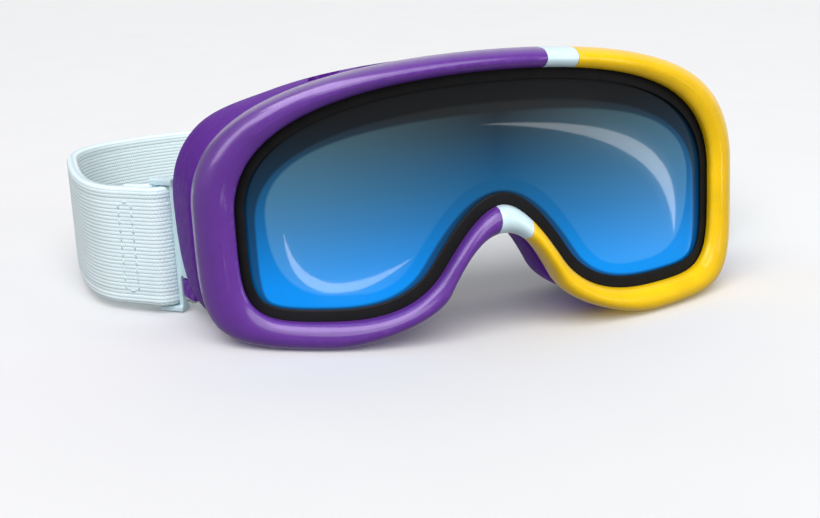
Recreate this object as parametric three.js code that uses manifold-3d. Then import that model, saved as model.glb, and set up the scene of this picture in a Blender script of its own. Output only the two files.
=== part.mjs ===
// Ski goggles with a two-colour rim, a double lens, a foam-padded face frame,
// hinged outriggers and an elastic strap with a slider. Units: millimetres, +Z up.
// The goggles stand on their cheek lobes. Their front faces -Y and the strap loops behind, at +Y.

import * as THREE from 'three';
import * as BufferGeometryUtils from 'three/addons/utils/BufferGeometryUtils.js';
import Module from 'manifold-3d';

const wasm = await Module();
wasm.setup();

// ---------------------------------------------------------------- driving dimensions
const WRAP_RADIUS = 140; // horizontal curve of the lens round the face
const GAP = 0.3; // clearance between touching pieces

// An outline is drawn on the unrolled wrap surface: x runs along the wrap, y is height.
// crown, cheek, lobe and flank are lengths of curve handles, in order from top to nose.
const WINDOW = {
  top: 76.5, halfWidth: 76.5, midHeight: 40.5, lobeX: 53, lobeBottom: 12,
  flankX: 21, flankHeight: 24.5, flankSlope: 1.0, noseTop: 44,
  crown: [44, 23], cheek: [28, 24], lobe: [11, 14], nose: [11, 8],
};
const RIM_EDGE = {
  top: 85.5, halfWidth: 94, midHeight: 41, lobeX: 53, lobeBottom: -0.3,
  flankX: 17, flankHeight: 14.5, flankSlope: 1.1, noseTop: 32,
  crown: [49, 30.5], cheek: [38, 42], lobe: [11, 8], nose: [11.5, 7],
};
const FRAME_EDGE = {
  top: 81.5, halfWidth: 93.5, midHeight: 40, lobeX: 53, lobeBottom: 0.6,
  flankX: 17.5, flankHeight: 14.5, flankSlope: 1.1, noseTop: 31.5,
  crown: [48, 31], cheek: [37, 42], lobe: [11, 8], nose: [12, 8],
};
const STATIONS = { crown: 12, cheek: 10, lobe: 6, nose: 6 };

// Layers, front to back, measured along +Y from the front of the lens.
const LENS = { edge: 2.4, thickness: 1.6 };
const SPACER = { inner: -4, outer: 2.2, front: 1.9, back: 4.6 };
const INNER_LENS = { front: 4.9, thickness: 1.2 };
const FRAME_BACK = 33;
const FOAM = { outer: -5, inner: -12.5 };
const FOAM_LAYERS = [
  { name: 'foam_base', front: 33.3, back: 39.3, color: 0x2c2c33 },
  { name: 'foam_core', front: 39.6, back: 46.6, color: 0x1d1d22 },
  { name: 'foam_lining', front: 46.9, back: 48.9, color: 0x101013 },
];

// Colour bands of the rim, along the wrap. Their ends bulge towards +X, most at `middle`.
const TOP_BAND = { center: 19, width: 10.3, middle: 84, heights: [60, 95] };
const NOSE_BAND = { center: 3.6, width: 10.3, middle: 37.5, heights: [25, 50] };
const BAND_BULGE_RADIUS = 16;

// Hinged outriggers that carry the strap; the right one is drawn, the left one mirrors it.
const PIVOT = new THREE.Vector2(86, 66);
const ARM_ANGLE = THREE.MathUtils.degToRad(50); // outward from straight back
const EARS = [[6, 12], [34, 40]];
const EAR_RADIUS = 3.1;
const PIN_RADIUS = 1.5;
const ARM_HEIGHT = [0.4, 45];
const ARM_WALL = [3.5, 5]; // along the arm from the pivot
const BAR = { along: 11, radius: 1.4 };
const ARM_LENGTH = 12.4;

// Strap
const STRAP = { bottom: 2.6, top: 42.6, thickness: 4 };
const STRAP_END_RADIUS = 24; // from the pivot, where the sewn end gives way to the loop
const STRAP_JOINT_GAP = 0.8;
const LOOP = { halfWidth: 120, bulgeY: 150, backY: 190, runHalf: 58 };
const RETURN_OFFSET = 4.4; // the doubled-back layer lies this far inside the strap
const SLIDER = { x: 38, halfLength: 11, rail: 2.3, bar: 3, barX: 9.5 };
const GRIP = { from: -50, to: 5, thickness: 0.8, height: 2, levels: { lower: 12, middle: 22, upper: 32 } };

// ---------------------------------------------------------------- solids and meshes
function toSolid(geometry) {
  geometry.deleteAttribute('normal');
  geometry.deleteAttribute('uv');
  const merged = BufferGeometryUtils.mergeVertices(geometry, 1e-4);
  const mesh = new wasm.Mesh({
    numProp: 3,
    vertProperties: new Float32Array(merged.attributes.position.array),
    triVerts: new Uint32Array(merged.index.array),
  });
  mesh.merge();
  return new wasm.Manifold(mesh);
}

function toGeometry(solid) {
  const mesh = solid.getMesh();
  const geometry = new THREE.BufferGeometry();
  geometry.setAttribute('position', new THREE.BufferAttribute(mesh.vertProperties, 3));
  geometry.setIndex(new THREE.BufferAttribute(mesh.triVerts, 1));
  geometry.computeVertexNormals();
  return geometry;
}

function flipped(geometry) {
  const index = geometry.index.array;
  for (let i = 0; i < index.length; i += 3) {
    [index[i], index[i + 1]] = [index[i + 1], index[i]];
  }
  return geometry;
}

function box(x0, x1, y0, y1, z0, z1) {
  const geometry = new THREE.BoxGeometry(x1 - x0, y1 - y0, z1 - z0);
  geometry.translate((x0 + x1) / 2, (y0 + y1) / 2, (z0 + z1) / 2);
  return toSolid(geometry);
}

function post(center, radius, z0, z1, sides = 16) {
  const geometry = new THREE.CylinderGeometry(radius, radius, z1 - z0, sides);
  geometry.rotateX(Math.PI / 2);
  geometry.translate(center.x, center.y, (z0 + z1) / 2);
  return toSolid(geometry);
}

// A plan outline raised from z0 to z1.
function slab(points, z0, z1) {
  const shape = new THREE.Shape(points);
  const geometry = new THREE.ExtrudeGeometry(shape, { depth: z1 - z0, bevelEnabled: false });
  geometry.translate(0, 0, z0);
  return toSolid(geometry);
}

function mirrored(solid) {
  return solid.mirror([1, 0, 0]);
}

const materials = {
  purple: { color: 0x653098, roughness: 0.45, metalness: 0 },
  yellow: { color: 0xffcb00, roughness: 0.4, metalness: 0 },
  white: { color: 0xdcf7fe, roughness: 0.45, metalness: 0 },
  black: { color: 0x151517, roughness: 0.6, metalness: 0 },
  tint: { color: 0x1f74b4, roughness: 0.08, metalness: 0.3 },
  clear: { color: 0xcfe3ee, roughness: 0.1, metalness: 0 },
  steel: { color: 0xb8bcc2, roughness: 0.35, metalness: 1 },
  strap: { color: 0xdcf7fe, roughness: 0.85, metalness: 0 },
  silicone: { color: 0x8fb9c8, roughness: 0.5, metalness: 0 },
};

const goggles = new THREE.Group();

function addPiece(name, solid, look) {
  const mesh = new THREE.Mesh(toGeometry(solid), new THREE.MeshStandardMaterial(look));
  mesh.name = name;
  goggles.add(mesh);
}

// ---------------------------------------------------------------- outlines on the wrap surface
function halfCurves(o) {
  const top = new THREE.Vector2(0, o.top);
  const side = new THREE.Vector2(o.halfWidth, o.midHeight);
  const lobe = new THREE.Vector2(o.lobeX, o.lobeBottom);
  const flank = new THREE.Vector2(o.flankX, o.flankHeight);
  const nose = new THREE.Vector2(0, o.noseTop);
  const rise = new THREE.Vector2(-Math.cos(o.flankSlope), Math.sin(o.flankSlope));
  const beside = (point, x, y) => new THREE.Vector2(point.x + x, point.y + y);
  const along = (point, length) => point.clone().addScaledVector(rise, length);
  return {
    crown: new THREE.CubicBezierCurve(top, beside(top, o.crown[0], 0), beside(side, 0, o.crown[1]), side),
    cheek: new THREE.CubicBezierCurve(side, beside(side, 0, -o.cheek[0]), beside(lobe, o.cheek[1], 0), lobe),
    lobe: new THREE.CubicBezierCurve(lobe, beside(lobe, -o.lobe[0], 0), along(flank, -o.lobe[1]), flank),
    nose: new THREE.CubicBezierCurve(flank, along(flank, o.nose[0]), beside(nose, o.nose[1], 0), nose),
  };
}

// The closed outline, clockwise seen from the front: down the right half, up the left half.
function outline(o) {
  const curves = halfCurves(o);
  const right = [];
  for (const [part, count] of Object.entries(STATIONS)) {
    right.push(...curves[part].getPoints(count).slice(0, -1));
  }
  const left = right.slice(1).reverse().map((p) => new THREE.Vector2(-p.x, p.y));
  return [...right, new THREE.Vector2(0, o.noseTop), ...left];
}

// Outward directions of an outline at its points.
function outward(points) {
  return points.map((_, i) => {
    const before = points[(i + points.length - 1) % points.length];
    const after = points[(i + 1) % points.length];
    const run = after.clone().sub(before).normalize();
    return new THREE.Vector2(-run.y, run.x);
  });
}

function wrap(x, height, depth) {
  const turn = x / WRAP_RADIUS;
  return new THREE.Vector3(
    WRAP_RADIUS * Math.sin(turn),
    WRAP_RADIUS * (1 - Math.cos(turn)) + depth,
    height,
  );
}

// Each outline is kept with its outward directions.
function edge(dimensions) {
  const points = outline(dimensions);
  return { points, out: outward(points) };
}
const windowEdge = edge(WINDOW);
const rimEdge = edge(RIM_EDGE);
const frameEdge = edge(FRAME_EDGE);

function offsetPoint(path, station, offset) {
  return path.points[station].clone().addScaledVector(path.out[station], offset);
}

// 1 at the middle of a temple, falling to 0 towards the top, the bottom and the front of the face.
function templeShare(point) {
  const middle = (FRAME_EDGE.top + FRAME_EDGE.lobeBottom) / 2;
  const level = (point.y - middle) / middle;
  return THREE.MathUtils.smoothstep(Math.abs(point.x), 60, 85) * Math.max(0, 1 - level * level);
}

// A ring that follows the outlines. A section point is {at, off, depth}: `at` goes from 0 on the
// inner outline to 1 on the outer one, `off` moves it outward, `depth` is its place along +Y.
// At the temples, `close` brings the point forward and `flare` moves it outward, most at mid-height.
function ring(inner, outer, section) {
  const stations = inner.points.length;
  const loop = [...section, section[0]];
  const profile = loop.map((p) => new THREE.Vector2(p.at + 2, p.depth));
  const geometry = new THREE.LatheGeometry(profile, stations);
  const position = geometry.attributes.position;
  for (let v = 0; v < position.count; v++) {
    const station = Math.floor(v / loop.length) % stations;
    const { at, off, depth, close, flare } = loop[v % loop.length];
    const temple = templeShare(inner.points[station]);
    const start = offsetPoint(inner, station, off + flare * temple);
    const point = start.lerp(offsetPoint(outer, station, off + flare * temple), at);
    const placed = wrap(point.x, point.y, depth - close * temple);
    position.setXYZ(v, placed.x, placed.y, placed.z);
  }
  const solid = toSolid(geometry);
  return solid.volume() > 0 ? solid : toSolid(flipped(geometry));
}

const ringPoint = (at, off, depth, close = 0, flare = 0) => ({ at, off, depth, close, flare });

// A plain ring between two offsets of one outline.
function band(path, innerOffset, outerOffset, front, back) {
  return ring(path, path, [
    ringPoint(0, innerOffset, front),
    ringPoint(0, outerOffset, front),
    ringPoint(0, outerOffset, back),
    ringPoint(0, innerOffset, back),
  ]);
}

// A curved plate that fills an outline, its front at `front` and bent to the wrap radius.
function plate(path, offset, front, thickness) {
  const turned = path.points.map((_, i) => {
    const p = offsetPoint(path, i, offset);
    return new THREE.Vector2(WRAP_RADIUS * Math.sin(p.x / WRAP_RADIUS), p.y);
  });
  const facets = 160;
  const deep = 60;
  const prism = new THREE.ExtrudeGeometry(new THREE.Shape(turned), { depth: deep, bevelEnabled: false });
  prism.rotateX(Math.PI / 2);
  prism.translate(0, deep, 0);
  const face = (y) => post(new THREE.Vector2(0, WRAP_RADIUS + y), WRAP_RADIUS, -5, 95, facets);
  return toSolid(prism).intersect(face(front).subtract(face(front + thickness)));
}

const belowFloor = box(-150, 150, -50, 200, -20, 0);

// ---------------------------------------------------------------- rim: four coloured segments
const rim = ring(
  { points: windowEdge.points.map((_, i) => offsetPoint(windowEdge, i, 3.4)), out: windowEdge.out },
  rimEdge,
  [
    ringPoint(0, 0, -1.7), ringPoint(0, 0.3, -4.2), ringPoint(0.22, 0, -6.2), ringPoint(0.5, 0, -7),
    ringPoint(0.78, 0, -5.8), ringPoint(0.95, 0, -3.2), ringPoint(1, 0, 0.5), ringPoint(1, -0.3, 5),
    ringPoint(0.9, 0, 7.5), ringPoint(0, 1.9, 7.5), ringPoint(0, 1.9, -1.7),
  ],
).subtract(belowFloor);

// Everything left of x, at the band's heights. The boundary is the side of a post.
function leftOf({ middle, heights: [z0, z1] }, x) {
  const geometry = new THREE.CylinderGeometry(BAND_BULGE_RADIUS, BAND_BULGE_RADIUS, 120, 96);
  geometry.translate(x - BAND_BULGE_RADIUS, 30, middle);
  return toSolid(geometry)
    .add(box(-150, x - BAND_BULGE_RADIUS, -30, 90, z0, z1))
    .intersect(box(-150, 150, -30, 90, z0, z1));
}

// What lies left of each end of a band, and the band between them.
function bandRegions(band) {
  const start = band.center - band.width / 2;
  const stop = band.center + band.width / 2;
  return {
    left: leftOf(band, start),
    band: leftOf(band, stop).subtract(leftOf(band, start + GAP)),
    notRight: leftOf(band, stop + GAP),
  };
}
const topRegions = bandRegions(TOP_BAND);
const noseRegions = bandRegions(NOSE_BAND);
const lowerLeft = box(-150, 0, -30, 90, -5, 60);
const atNose = box(-20, 0, -30, 90, ...NOSE_BAND.heights);
const leftRegion = wasm.Manifold.union([topRegions.left, noseRegions.left, lowerLeft.subtract(atNose)]);
const notRight = wasm.Manifold.union([topRegions.notRight, noseRegions.notRight, lowerLeft]);

addPiece('rim_left', rim.intersect(leftRegion), materials.purple);
addPiece('rim_top_band', rim.intersect(topRegions.band), materials.white);
addPiece('rim_nose_band', rim.intersect(noseRegions.band), materials.white);
addPiece('rim_right', rim.subtract(notRight), materials.yellow);

// ---------------------------------------------------------------- lens pack
addPiece('lens_seal', ring(windowEdge, windowEdge, [
  ringPoint(0, 0, -1.4), ringPoint(0, 5, -1.4), ringPoint(0, 5, 7.2),
  ringPoint(0, 2.7, 7.2), ringPoint(0, 2.7, -0.3), ringPoint(0, 0, -0.3),
]), materials.black);
addPiece('outer_lens', plate(windowEdge, LENS.edge, 0, LENS.thickness), materials.tint);
const spacer = band(windowEdge, SPACER.inner, SPACER.outer, SPACER.front, SPACER.back);
addPiece('lens_spacer', spacer, materials.black);
addPiece('inner_lens', plate(windowEdge, LENS.edge, INNER_LENS.front, INNER_LENS.thickness), materials.clear);

// The carrier holds the lens pack from behind and plugs into the face frame.
addPiece('lens_carrier', ring(windowEdge, frameEdge, [
  ringPoint(0, -1, 6.4), ringPoint(0, 2.4, 6.4), ringPoint(0, 2.4, 7.8),
  ringPoint(1, -3.2, 7.8), ringPoint(1, -4.7, 8.5), ringPoint(1, -4.7, 18),
  ringPoint(1, -5.8, 18), ringPoint(1, -5.8, 10.4), ringPoint(0, -1, 10.4),
]), materials.black);

// ---------------------------------------------------------------- face frame with vents and hinge ears
const GROOVE_CLOSE = 3; // the groove behind the rim narrows by this much at the temples
const FLARE = 4; // the frame's back edge stands out by this much at the temples
const TUCK = 1.5; // and its corner is this much nearer the front, to clear the outrigger

// A vent slot cut up or down through the frame's wall at a place along the wrap.
function ventSlot(x, width, z0, z1) {
  const depths = [19.5, 27.5];
  const at = wrap(x, 0, 0);
  const geometry = new THREE.BoxGeometry(width, depths[1] - depths[0], z1 - z0);
  geometry.rotateZ(x / WRAP_RADIUS);
  geometry.translate(at.x, at.y + (depths[0] + depths[1]) / 2, (z0 + z1) / 2);
  return toSolid(geometry);
}
const topVents = [-3, -2, -1, 0, 1, 2, 3].map((step) => ventSlot(step * 15, 9.5, 70, 95));
const bottomVents = [-73, -39, 39, 73].map((x) => ventSlot(x, 9, -5, 9));

function hingeEar([z0, z1]) {
  const lug = box(PIVOT.x - EAR_RADIUS, PIVOT.x + 0.8, 59, PIVOT.y, z0, z1);
  return post(PIVOT, EAR_RADIUS, z0, z1).add(lug);
}
const rightEars = wasm.Manifold.union(EARS.map(hingeEar));
const rightBore = post(PIVOT, PIN_RADIUS + GAP, -5, 60);
const ears = rightEars.add(mirrored(rightEars));
const bores = rightBore.add(mirrored(rightBore));

const frameShell = ring(frameEdge, frameEdge, [
  ringPoint(0, -2.2, 11.8, GROOVE_CLOSE), ringPoint(0, -0.2, 13, GROOVE_CLOSE, FLARE * 0.2),
  ringPoint(0, 0.8, 18, 0, FLARE * 0.5), ringPoint(0, 1, 25, 0, FLARE * 0.9),
  ringPoint(0, 0.3, 30.5, TUCK, FLARE), ringPoint(0, -1.4, FRAME_BACK, TUCK, FLARE),
  ringPoint(0, -11, FRAME_BACK), ringPoint(0, -11, 30.6), ringPoint(0, -3.6, 30.6, TUCK, FLARE * 0.8),
  ringPoint(0, -2.6, 28, TUCK, FLARE * 0.9), ringPoint(0, -2.6, 18.5, 0, FLARE * 0.5),
  ringPoint(0, -4.4, 14.5), ringPoint(0, -4.4, 11.8, GROOVE_CLOSE),
]);
addPiece(
  'face_frame',
  frameShell.add(ears).subtract(wasm.Manifold.union([...topVents, ...bottomVents, bores, belowFloor])),
  materials.purple,
);

const ventFoam = band(frameEdge, -5, -2.9, 19.2, 28.5);
addPiece('top_vent_foam', ventFoam.intersect(box(-52, 52, 0, 90, 60, 95)), materials.black);
addPiece('bottom_vent_foam_left', ventFoam.intersect(box(-76, -31, 0, 90, -5, 20)), materials.black);
addPiece('bottom_vent_foam_right', ventFoam.intersect(box(31, 76, 0, 90, -5, 20)), materials.black);

for (const { name, front, back, color } of FOAM_LAYERS) {
  const layer = band(frameEdge, FOAM.inner, FOAM.outer, front, back);
  addPiece(name, layer, { color, roughness: 0.95, metalness: 0 });
}

// ---------------------------------------------------------------- outriggers, pins and clips
const armDirection = new THREE.Vector2(Math.sin(ARM_ANGLE), Math.cos(ARM_ANGLE));
const armOutward = new THREE.Vector2(armDirection.y, -armDirection.x);

// A plan point given along the arm from the pivot and outward from the arm's middle.
function armPoint(along, out) {
  return PIVOT.clone().addScaledVector(armDirection, along).addScaledVector(armOutward, out);
}

function armBlock(along0, along1, out0, out1, z0, z1) {
  const corners = [[along0, out0], [along0, out1], [along1, out1], [along1, out0]];
  return slab(corners.map(([along, out]) => armPoint(along, out)).reverse(), z0, z1);
}

const SLOT_HEIGHT = [STRAP.bottom - GAP, STRAP.top + GAP];
const WEB = 1.2;
const CAP = 2.2;
const barrelHeight = [EARS[0][1] + GAP, EARS[1][0] - GAP];
const outrigger = wasm.Manifold.union([
  post(PIVOT, EAR_RADIUS, barrelHeight[0], barrelHeight[1]),
  armBlock(0.5, 4.6, -WEB, WEB, barrelHeight[0] + 0.5, barrelHeight[1] - 0.5),
  armBlock(ARM_WALL[0], ARM_WALL[1], -WEB - 0.3, WEB + 0.3, SLOT_HEIGHT[0] - 1, SLOT_HEIGHT[1] + 1),
  armBlock(ARM_WALL[0] + 0.1, ARM_LENGTH, -CAP, CAP, SLOT_HEIGHT[1], ARM_HEIGHT[1]),
  armBlock(ARM_WALL[0] + 0.1, ARM_LENGTH, -CAP, CAP, ARM_HEIGHT[0], SLOT_HEIGHT[0]),
  post(armPoint(BAR.along, 0), BAR.radius, SLOT_HEIGHT[0] - 1, SLOT_HEIGHT[1] + 1, 12),
]).subtract(rightBore);

const HEAD_RADIUS = 2.7;
const headBottom = EARS[1][1] + GAP;
const pin = post(PIVOT, PIN_RADIUS, 3.6, headBottom + 0.2)
  .add(post(PIVOT, HEAD_RADIUS, headBottom, headBottom + 1.5));
const pinClip = post(PIVOT, HEAD_RADIUS, 4.4, EARS[0][0] - GAP)
  .subtract(post(PIVOT, PIN_RADIUS + GAP, 0, 10));

// ---------------------------------------------------------------- strap
// A ribbon of the strap in plan, between two offsets from its middle line.
function ribbonPoints(line, offset0, offset1) {
  const side = (offset) => line.map((p, i) => {
    const before = line[Math.max(i - 1, 0)];
    const after = line[Math.min(i + 1, line.length - 1)];
    const run = after.clone().sub(before).normalize();
    return p.clone().add(new THREE.Vector2(run.y, -run.x).multiplyScalar(offset));
  });
  return [...side(offset0), ...side(offset1).reverse()];
}

const layer = BAR.radius + GAP + STRAP.thickness / 2; // middle of a strap layer beside the bar
const half = STRAP.thickness / 2;
const startAlong = Math.sqrt((STRAP_END_RADIUS + STRAP_JOINT_GAP) ** 2 - layer ** 2);

// Right half of a layer of the loop, from the outrigger to the straight run at the back.
function halfLoop(out, inset, curveStart = startAlong) {
  const start = armPoint(curveStart, out);
  const bulge = new THREE.Vector2(LOOP.halfWidth - inset, LOOP.bulgeY);
  const run = new THREE.Vector2(LOOP.runHalf, LOOP.backY - inset);
  const first = new THREE.CubicBezierCurve(
    start,
    armPoint(curveStart + 14, out),
    new THREE.Vector2(bulge.x, bulge.y - 38),
    bulge,
  );
  const second = new THREE.CubicBezierCurve(
    bulge,
    new THREE.Vector2(bulge.x, bulge.y + 26 - inset * 0.5),
    new THREE.Vector2(run.x + 38 - inset * 0.5, run.y),
    run,
  );
  return [...first.getPoints(8).slice(0, -1), ...second.getPoints(14)];
}

const rightLine = halfLoop(layer, 0);
const leftLine = rightLine.map((p) => new THREE.Vector2(-p.x, p.y)).reverse();
const joinRadius = post(PIVOT, STRAP_END_RADIUS + STRAP_JOINT_GAP, -5, 60, 64);
const strap = slab(ribbonPoints([...rightLine, ...leftLine], -half, half), STRAP.bottom, STRAP.top)
  .subtract(joinRadius.add(mirrored(joinRadius)));

const returnLine = halfLoop(-layer, RETURN_OFFSET);
const returnEnd = SLIDER.x + 22;
const strapReturn = slab(ribbonPoints(returnLine, -half, half), STRAP.bottom, STRAP.top)
  .subtract(joinRadius)
  .subtract(box(0, returnEnd, LOOP.bulgeY, LOOP.backY + 10, -5, 60));

// The strap's end wraps the outrigger's bar; both of its layers run back beside the bar.
const endHeight = [STRAP.bottom, STRAP.top];
const endTrim = post(PIVOT, STRAP_END_RADIUS, -5, 60, 64);
const barCenter = armPoint(BAR.along, 0);
const hairpin = post(barCenter, layer + half, endHeight[0], endHeight[1], 32)
  .subtract(armBlock(BAR.along + 0.5, 40, -20, 20, -5, 60))
  .add(armBlock(BAR.along, 30, layer - half, layer + half, endHeight[0], endHeight[1]))
  .add(armBlock(BAR.along, 30, -layer - half, -layer + half, endHeight[0], endHeight[1]))
  .subtract(post(barCenter, layer - half, -5, 60, 24));
const sewnBox = armBlock(16, 30, -2.5, layer, endHeight[0], endHeight[1]);
const thinInner = armBlock(18, 30, -20, -2.5, -5, 60);
const rightEnd = hairpin.intersect(endTrim);
const leftEnd = mirrored(hairpin.subtract(thinInner).add(sewnBox).intersect(endTrim));

addPiece('strap', strap, materials.strap);
addPiece('strap_return', strapReturn, materials.strap);
addPiece('strap_end_left', leftEnd, materials.strap);
addPiece('strap_end_right', rightEnd, materials.strap);
addPiece('outrigger_left', mirrored(outrigger), materials.white);
addPiece('outrigger_right', outrigger, materials.white);
addPiece('pin_left', mirrored(pin), materials.steel);
addPiece('pin_right', pin, materials.steel);
addPiece('pin_clip_left', mirrored(pinClip), materials.steel);
addPiece('pin_clip_right', pinClip, materials.steel);

// ---------------------------------------------------------------- slider and the strap's sewn tail
const strapInside = LOOP.backY - half;
const strapOutside = LOOP.backY + half;
const railBack = strapOutside + GAP + 2.6;
const centerBar = new THREE.Vector2(SLIDER.x, LOOP.backY - 5.5);
const railFront = centerBar.y - 1.6;
const sliderX = [SLIDER.x - SLIDER.halfLength, SLIDER.x + SLIDER.halfLength];
const railHeights = [[0, STRAP.bottom - GAP], [STRAP.top + GAP, STRAP.top + GAP + SLIDER.rail]];
const rails = railHeights.map(([z0, z1]) => box(sliderX[0], sliderX[1], railFront, railBack, z0, z1));
const sideBars = [-SLIDER.barX, SLIDER.barX].map((shift) => box(
  SLIDER.x + shift - SLIDER.bar / 2, SLIDER.x + shift + SLIDER.bar / 2,
  strapOutside + GAP, railBack, 1, STRAP.top + 1,
));
const middleBar = post(centerBar, 1.3, 1, STRAP.top + 1, 12);
addPiece('slider', wasm.Manifold.union([...rails, ...sideBars, middleBar]), materials.purple);

const tail = post(centerBar, 3.2, STRAP.bottom, STRAP.top, 24)
  .add(box(SLIDER.x, SLIDER.x + 14, strapInside - GAP - 4, strapInside - GAP, STRAP.bottom, STRAP.top))
  .subtract(post(centerBar, 1.6, -5, 60, 16));
addPiece('strap_tail', tail, materials.strap);

const gripBack = strapInside - GAP;
for (const [level, z] of Object.entries(GRIP.levels)) {
  addPiece(
    `grip_strip_${level}`,
    box(GRIP.from, GRIP.to, gripBack - GRIP.thickness, gripBack, z, z + GRIP.height),
    materials.silicone,
  );
}

// ---------------------------------------------------------------- origin at the middle of the base
const bounds = new THREE.Box3().setFromObject(goggles, true);
const middle = bounds.getCenter(new THREE.Vector3());
goggles.position.set(-middle.x, -middle.y, -bounds.min.z);

export default goggles;
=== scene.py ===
"""Looks for the ski goggles: the visual pieces, materials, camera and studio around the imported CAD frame.

Sizes are in millimetres in the part's own axes (lens front at Y = 0, floor at Z = 0), as in the CAD source;
make_piece() turns them into the row frame's metres.
"""

import math
from typing import NamedTuple

import bmesh
import bpy
import numpy as np
from mathutils import Matrix, Vector


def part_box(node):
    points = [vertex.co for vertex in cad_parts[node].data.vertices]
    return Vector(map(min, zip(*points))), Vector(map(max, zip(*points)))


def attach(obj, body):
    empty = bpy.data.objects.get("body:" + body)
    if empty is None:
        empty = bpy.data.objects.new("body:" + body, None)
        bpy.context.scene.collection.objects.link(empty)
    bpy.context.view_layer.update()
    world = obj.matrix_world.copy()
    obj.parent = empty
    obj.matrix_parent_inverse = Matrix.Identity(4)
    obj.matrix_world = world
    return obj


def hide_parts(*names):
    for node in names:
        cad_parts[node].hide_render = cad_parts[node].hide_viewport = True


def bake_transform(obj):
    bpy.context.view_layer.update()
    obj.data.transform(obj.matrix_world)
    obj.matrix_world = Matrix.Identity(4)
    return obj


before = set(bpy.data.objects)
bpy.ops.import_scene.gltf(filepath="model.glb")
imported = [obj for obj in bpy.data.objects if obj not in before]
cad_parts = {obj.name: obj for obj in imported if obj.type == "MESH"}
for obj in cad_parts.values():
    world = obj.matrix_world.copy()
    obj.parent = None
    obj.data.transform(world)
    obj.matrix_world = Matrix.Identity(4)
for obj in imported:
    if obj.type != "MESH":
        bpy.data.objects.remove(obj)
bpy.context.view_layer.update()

MM = 0.001
ORIGIN = np.array([0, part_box("outer_lens")[0].y, 0])  # the lens front's place in the row frame

# ---- driving dimensions, as in the CAD
WRAP_RADIUS = 140  # horizontal curve of the lens round the face

# Outlines on the unrolled wrap: x runs along the wrap, y is height. crown, cheek, lobe and nose give the
# lengths of their curves' handles.
WINDOW = {
    "top": 76.5, "half_width": 76.5, "mid_height": 40.5, "lobe_x": 53, "lobe_bottom": 12,
    "flank_x": 21, "flank_height": 24.5, "flank_slope": 1.0, "nose_top": 44,
    "crown": (44, 23), "cheek": (28, 24), "lobe": (11, 14), "nose": (11, 8),
}
RIM_EDGE = {
    "top": 85.5, "half_width": 94, "mid_height": 41, "lobe_x": 53, "lobe_bottom": 0.1,
    "flank_x": 17, "flank_height": 14.5, "flank_slope": 1.1, "nose_top": 32,
    "crown": (49, 30.5), "cheek": (38, 42), "lobe": (11, 8), "nose": (11.5, 7),
}
FRAME_EDGE = {
    **RIM_EDGE, "top": 81.5, "half_width": 93.5, "mid_height": 40, "lobe_bottom": 1.1,
    "flank_x": 17.5, "nose_top": 31.5, "crown": (48, 31), "cheek": (37, 42), "nose": (12, 8),
}
GLARE_ZONE = {  # the middle of the lens, where a painted pale reflection lies, with rounder lower corners than the window's
    "top": 67.5, "half_width": 69.9, "mid_height": 40, "lobe_x": 50, "lobe_bottom": 16.2,
    "flank_x": 26.5, "flank_height": 25.7, "flank_slope": 1.0, "nose_top": 48.2,
    "crown": (40, 19), "cheek": (17, 13), "lobe": (9, 12), "nose": (13, 12),
}
STATIONS = {"crown": 52, "cheek": 44, "lobe": 24, "nose": 24}

TOP_BAND = {"center": 19, "width": 10.3, "middle": 84}
NOSE_BAND = {"center": 3.6, "width": 10.3, "middle": 37.5}
BAND_RADIUS = 16  # the band's ends bulge towards +X on this radius, most at `middle`
SEAM = 0.12  # between the coloured segments of the rim

PIVOT = np.array([86.0, 66.0])
ARM_ANGLE = math.radians(50)
EARS = ((6, 12), (34, 40))
EAR_RADIUS = 3.1
PIN_RADIUS = 1.5
PIN_CLEARANCE = 0.3  # round the pin in its bore, and at each end of it
BAR_ALONG = 11
STRAP_MID_HEIGHT = 22.6
STRAP_WIDTH = 40
STRAP_THICKNESS = 4
LAYER = 3.7  # middle of a strap layer beside the outrigger's bar
LOOP = {"half_width": 120, "bulge_y": 150, "back_y": 190, "run_half": 58}
LOOP_START = 24.5  # along the arm, where the straight stretch of strap begins to curve
RETURN_INSET = 4.4  # of the doubled-back layer, inside the outer one
RETURN_CUT_X = 76  # where the doubled-back layer is parted, so that its tail can follow the slider
SEWN_OUT, SEWN_END = -0.4, 23.6  # the sewn end's place across the arm, and where it stops along it
SLIDER_BAR = np.array([38.0, 184.5])


# ---- outlines
class Edge(NamedTuple):
    """An outline's points on the unrolled wrap, with its outward directions."""

    points: np.ndarray
    out: np.ndarray


def bezier(controls, t):
    a, b, c, d = (np.asarray(p, float) for p in controls)
    t = np.asarray(t)[:, None]
    return (1 - t) ** 3 * a + 3 * (1 - t) ** 2 * t * b + 3 * (1 - t) * t**2 * c + t**3 * d


def half_outline(o):
    """Right half of an outline, from the top centre round to the nose."""
    top = np.array([0, o["top"]])
    side = np.array([o["half_width"], o["mid_height"]])
    lobe = np.array([o["lobe_x"], o["lobe_bottom"]])
    flank = np.array([o["flank_x"], o["flank_height"]])
    nose = np.array([0, o["nose_top"]])
    rise = np.array([-math.cos(o["flank_slope"]), math.sin(o["flank_slope"])])
    curves = {
        "crown": (top, top + (o["crown"][0], 0), side + (0, o["crown"][1]), side),
        "cheek": (side, side - (0, o["cheek"][0]), lobe + (o["cheek"][1], 0), lobe),
        "lobe": (lobe, lobe - (o["lobe"][0], 0), flank - rise * o["lobe"][1], flank),
        "nose": (flank, flank + rise * o["nose"][0], nose + (o["nose"][1], 0), nose),
    }
    return np.concatenate([bezier(curves[name], np.arange(n) / n) for name, n in STATIONS.items()])


def edge(o):
    right = half_outline(o)
    left = right[:0:-1] * (-1, 1)
    points = np.concatenate([right, [[0, o["nose_top"]]], left])
    run = np.roll(points, -1, axis=0) - np.roll(points, 1, axis=0)
    run /= np.linalg.norm(run, axis=1)[:, None]
    return Edge(points, np.stack([-run[:, 1], run[:, 0]], axis=1))


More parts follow.
